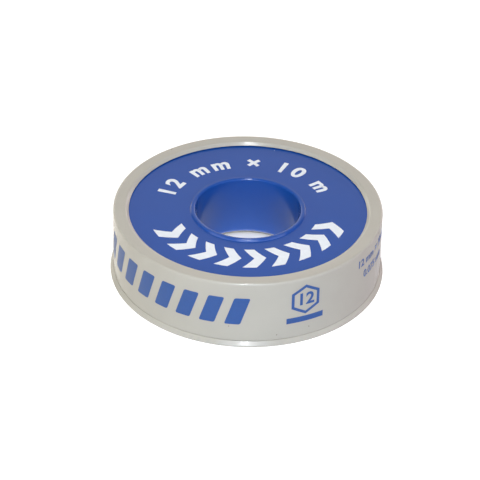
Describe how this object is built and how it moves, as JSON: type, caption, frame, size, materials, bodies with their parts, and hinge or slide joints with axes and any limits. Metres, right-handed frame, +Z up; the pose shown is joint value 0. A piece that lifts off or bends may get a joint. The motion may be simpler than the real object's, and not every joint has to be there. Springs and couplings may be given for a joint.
{
  "type": "thread seal tape roll",
  "caption": "Flat round roll of thread seal tape: tape wound on a spool that turns inside a low two-piece case, with a wide bore through the middle.",
  "frame": {"origin": "middle of the base's underside, on the bore's axis", "axes": "+Z up the bore, from the base to the rim; -Y towards the camera of the picture"},
  "size_m": [0.0572, 0.0572, 0.0148],
  "materials": {
    "grey_plastic": "satin moulded",
    "blue_plastic": "satin moulded",
    "white_tape": "soft matte film"
  },
  "bodies": {
    "base": {"base": "grey_plastic"},
    "shell": {"shell": "grey_plastic"},
    "spool": {"spool": "blue_plastic", "tape": "white_tape"}
  },
  "joints": [
    {"name": "spool_spin", "type": "hinge", "parent": "base", "child": "spool", "pos_m": [0, 0, 0], "axis": [0, 0, 1], "continuous": true},
    {"name": "shell_lift", "type": "slide", "parent": "base", "child": "shell", "axis": [0, 0, 1], "range_m": [0, 0.02]}
  ]
}
